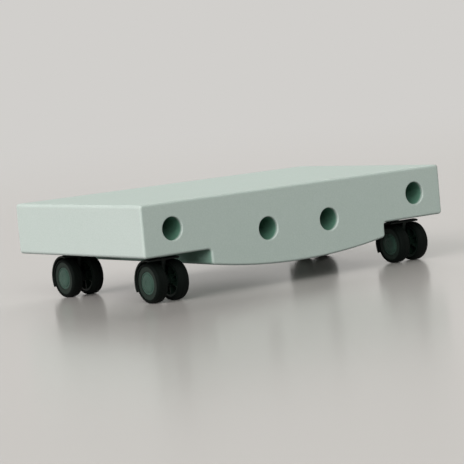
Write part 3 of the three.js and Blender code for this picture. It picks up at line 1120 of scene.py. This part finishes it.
def wheelShape():
    edge, fillet = wheel["edge"], wheel["fillet"]
    profile = [
        (wheel["bore"], 0, edge / 2),
        (wheel["hub"], 0, edge),
        (wheel["hub"], wheel["webInside"], fillet),
        (wheel["rimInside"], wheel["webInside"], fillet),
        (wheel["rimInside"], wheel["rimLow"], edge),
        (wheel["rim"], wheel["rimLow"], edge),
        (wheel["rim"], wheel["rimHigh"], edge),
        (wheel["recess"], wheel["rimHigh"], edge),
        (wheel["recess"], wheel["webOutside"], edge),
        (wheel["bore"], wheel["webOutside"], edge / 2),
    ]
    piece = pieceOf("wheel", lathe("wheel", profile, wheel["sides"]))
    bite = wheel["ribBite"]
    values = {
        "Ribs": wheel["ribs"],
        "Thickness": wheel["ribThickness"],
        "Length": wheel["rimInside"] - wheel["hub"] + 2 * bite,
        "Depth": wheel["webInside"] + bite - wheel["ribFrom"],
        "Middle": (wheel["rimInside"] + wheel["hub"]) / 2,
        "Start": wheel["ribFrom"],
        "Finish": finishes["wheel_plastic"],
    }
    made = Recipe("wheelRibs", values)
    depth = made.ask("Depth")
    size = made.vector(depth, made.ask("Thickness"), made.ask("Length"))
    bar = made.node("GeometryNodeMeshCube", sockets={0: size})
    offset = made.vector(x=made.ask("Start") + depth * 0.5, z=made.ask("Middle"))
    bar = made.node("GeometryNodeTransform", sockets={"Geometry": bar, "Translation": offset})
    spots = made.node("GeometryNodePoints", sockets={0: made.ask("Ribs")})
    turn = made.node("GeometryNodeInputIndex") * math.tau / made.ask("Ribs")
    ribs = made.realized(made.copies(spots, bar, made.vector(x=turn)))
    made.settleOn(piece, made.joined(made.ask("Geometry"), ribs))
    return loose(piece)


# Tread: rounded shoulders, and a fine ridge where its mould parts
tread = {
    "inner": 0.02075,
    "outer": 0.025,
    "width": 0.016,
    "shoulder": 0.0035,
    "innerEdge": 0.0003,
    "ridge": 0.0001,
    "ridgeHalf": 0.00025,
    "sides": 128,
}


def treadShape():
    inner, outer, width = tread["inner"], tread["outer"], tread["width"]
    land, half = outer - tread["ridge"], width / 2
    profile = [
        (inner, 0, tread["innerEdge"]),
        (land, 0, tread["shoulder"]),
        (land, half - 2 * tread["ridgeHalf"], 0),
        (outer, half - tread["ridgeHalf"], 0),
        (outer, half + tread["ridgeHalf"], 0),
        (land, half + 2 * tread["ridgeHalf"], 0),
        (land, width, tread["shoulder"]),
        (inner, width, tread["innerEdge"]),
    ]
    return lathe("tread", profile, tread["sides"])


# Hub cap: a low dome inside a groove, with a dimple at its middle
cap = {
    "seat": 0.0128,
    "radius": 0.014,
    "rimTop": 0.0146,
    "crown": 0.0158,
    "grooveOuter": 0.0122,
    "grooveInner": 0.0114,
    "grooveDepth": 0.0005,
    "domeRadius": 0.0084,
    "domeRound": 0.004,
    "dimple": 0.0036,
    "dimpleDepth": 0.0004,
    "edge": 0.0004,
    "slant": 0.0002,
    "sides": 96,
}


def capShape():
    edge, slant = cap["edge"], cap["slant"]
    floor = cap["rimTop"] - cap["grooveDepth"]
    profile = [
        (0, cap["seat"], 0),
        (cap["radius"], cap["seat"], slant),
        (cap["radius"], cap["rimTop"], edge),
        (cap["grooveOuter"], cap["rimTop"], slant),
        (cap["grooveOuter"] - slant, floor, slant / 2),
        (cap["grooveInner"], floor, slant / 2),
        (cap["grooveInner"] - slant, cap["rimTop"] + slant, slant),
        (cap["domeRadius"], cap["crown"] - slant, cap["domeRound"]),
        (cap["dimple"] + edge, cap["crown"], edge),
        (cap["dimple"], cap["crown"] - cap["dimpleDepth"], edge),
        (0, cap["crown"] - cap["dimpleDepth"], 0),
    ]
    return lathe("cap", profile, cap["sides"], closed=False)


# Rail: a flat bar with pilot holes, room for kingpin heads, and cells between them, open above
rail = {
    "corner": 0.008,
    "edge": 0.0005,
    "wall": 0.0025,
    "floor": 0.0025,
    "rows": 2,
    "columns": 6,
    "pilot": 0.0023,
    "pilotDepth": 0.0085,
    "relief": 0.0068,
    "reliefDepth": 0.0022,
}


def cellCutter(low, high, length):
    values = {
        "Rows": rail["rows"],
        "Columns": rail["columns"],
        "Across": (high.x - low.x - rail["wall"]) / rail["rows"],
        "Along": (length - rail["wall"]) / rail["columns"],
        "Wall": rail["wall"],
        "Depth": high.z - low.z,
        "Finish": finishes["rail_plastic"],
    }
    cells = pieceOf("cells", meshOf("cells", [], []))
    made = Recipe("railCells", values)
    rows, columns = made.ask("Rows"), made.ask("Columns")
    across, along, wall = made.ask("Across"), made.ask("Along"), made.ask("Wall")
    grid = {"Size X": across * (rows - 1), "Size Y": along * (columns - 1)}
    grid.update({"Vertices X": rows, "Vertices Y": columns})
    spots = made.node("GeometryNodeMeshGrid", sockets=grid)
    size = made.vector(across - wall, along - wall, made.ask("Depth"))
    made.settleOn(cells, made.copies(spots, made.node("GeometryNodeMeshCube", sockets={0: size})))
    shifted(cells.data, *((low + high) / 2 + Vector((0, 0, rail["floor"]))))
    return cells


def makeRail(end):
    name = end + "Rail"
    low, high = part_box(end + "_rail")
    outline = rectangle(low, high, rail["corner"])
    piece = pieceOf(name, cleaned(slab(name, outline, low.z, high.z, rail["edge"])))
    places = [swivelPlace(caster).translation for caster in casters if caster.startswith(end)]
    plateLow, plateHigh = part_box(firstCaster + "_plate")
    spread = abs(places[0].y - places[1].y)
    cutters = [cellCutter(low, high, spread - (plateHigh.y - plateLow.y))]
    under = low.z - rail["relief"]
    for at in places:
        cutters.append(roundCutter(rail["relief"], under, low.z + rail["reliefDepth"], at.x, at.y))
        for x, y in screwSpots():
            pilotTop = low.z + rail["pilotDepth"]
            cutters.append(roundCutter(rail["pilot"], under, pilotTop, at.x + x, at.y + y))
    carve(piece, "DIFFERENCE", *cutters)
    dress(piece, "deck", "rail_plastic", end + "_rail")
    print(end, "rail made")


# The fore wheel of a caster is the aft one turned round
def makeCasters():
    shapes = {
        "plate": (plateShape(), "deck", "zinc_steel"),
        "kingpin": (kingpinShape(), "deck", "zinc_steel"),
        "hood": (hoodShape(), "caster", "hood_plastic"),
    }
    pin = axleShape()
    rollers = {
        "wheel": (wheelShape(), "wheel_plastic"),
        "tread": (treadShape(), "tread_rubber"),
        "cap": (capShape(), "cap_plastic"),
    }
    for caster in casters:
        swivelling = caster + "_caster"
        for part, (mesh, body, slot) in shapes.items():
            piece = copyTo(mesh, pieceName(caster, part), swivelPlace(caster))
            dress(piece, swivelling if body == "caster" else body, slot, f"{caster}_{part}")
        at = middle(caster + "_axle")
        piece = copyTo(pin, pieceName(caster, "axle"), Matrix.Translation(at))
        dress(piece, swivelling, "zinc_steel", caster + "_axle")
        for side, turn in (("fore", math.pi), ("aft", 0)):
            roller = f"{caster}_{side}"
            low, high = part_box(roller + "_tread")
            inner = high.x if side == "fore" else low.x
            place = Matrix.Translation((inner, at.y, at.z)) @ Matrix.Rotation(turn, 4, "Z")
            for part, (mesh, slot) in rollers.items():
                piece = copyTo(mesh, pieceName(roller, part), place)
                dress(piece, roller + "_roller", slot, f"{roller}_{part}")
    print("casters made:", ", ".join(casters))


for end in deckEnds:
    makeRail(end)
makeScrews()
makeCasters()

# Stage: a plain pale floor that fades into the background, and soft studio light
stage = {
    "size": 400.0,
    "floorColour": colour(198, 195, 190),
    "bounce": 0.12,
    "backColour": colour(209, 207, 204),
    "floorRoughness": 0.2,
    "fadeFrom": 0.8,
    "fadeTo": 5.0,
    "ambient": 0.16,
}
lights = {
    "key": {"from": (-0.91, -0.11, 0.40), "power": 2.46, "spread": 45, "tint": (1.0, 0.93, 0.96)},
    "fill": {"from": (-0.45, -0.70, 0.55), "power": 1.5, "spread": 45, "tint": (0.95, 1.0, 0.965)},
    "back": {"from": (0.60, 0.65, 0.45), "power": 1.8, "spread": 40, "tint": (1.0, 1.0, 1.0)},
}


# 1 where something is seen, also in gloss or through glass, and 0 where it only throws light back
def seenShare(made):
    rays = ("Is Camera Ray", "Is Glossy Ray", "Is Transmission Ray")
    seen, gloss, glass = (made.node("ShaderNodeLightPath", output=ray) for ray in rays)
    return seen.atLeast(gloss).atLeast(glass)


# The floor is seen in full, fades into the background far away and is clear from beneath. The light
# that it throws back onto the object is weak and even.
def floorFinish():
    fixed = {"Base Color": stage["floorColour"], "Roughness": stage["floorRoughness"]}
    made = Finish("paleFloor", fixed)
    length = {"operation": "LENGTH"}
    reach = made.node("ShaderNodeVectorMath", length, {0: made.place()}, output="Value")
    sockets = {"Value": reach, "From Min": stage["fadeFrom"], "From Max": stage["fadeTo"]}
    fade = made.node("ShaderNodeMapRange", {"interpolation_type": "SMOOTHSTEP"}, sockets)
    far = made.node("ShaderNodeEmission", sockets={"Color": stage["backColour"]})
    near = Socket(made, made.surface.outputs[0])
    bounce = made.node("ShaderNodeEmission", sockets={"Color": grey(stage["bounce"])})
    near = made.node("ShaderNodeMixShader", sockets={0: seenShare(made), 1: bounce, 2: near})
    above = made.node("ShaderNodeMixShader", sockets={0: fade, 1: near, 2: far})
    clear = made.node("ShaderNodeBsdfTransparent")
    beneath = made.node("ShaderNodeNewGeometry", output="Backfacing")
    blend = made.node("ShaderNodeMixShader", sockets={0: beneath, 1: above, 2: clear})
    made.plug(made.tree.nodes["Material Output"].inputs["Surface"], blend)
    return made.material


def makeStage():
    half = stage["size"] / 2
    spots = [(-half, -half, 0), (half, -half, 0), (half, half, 0), (-half, half, 0)]
    floor = pieceOf("floor", meshOf("floor", spots, [(0, 1, 2, 3)]))
    floor.data.materials.append(floorFinish())
    for name, light in lights.items():
        lamp = bpy.data.lights.new(name, "SUN")
        lamp.energy = light["power"]
        lamp.color = light["tint"]
        lamp.angle = math.radians(light["spread"])
        sun = bpy.data.objects.new(name, lamp)
        sun.rotation_euler = Vector(light["from"]).to_track_quat("Z", "Y").to_euler()
        sun.visible_glossy = False  # so that the floor doesn't glare
        scene.collection.objects.link(sun)


# The world is seen as the background and in gloss, and lights the object less
def makeWorld():
    world = bpy.data.worlds.new("studio")
    world.use_nodes = True
    scene.world = world
    made = Nodes(world.node_tree)
    shown = made.between(seenShare(made), grey(stage["ambient"]), stage["backColour"])
    made.plug(made.tree.nodes["Background"].inputs["Color"], shown)


makeStage()
makeWorld()
print("stage made")

bpy.context.view_layer.update()
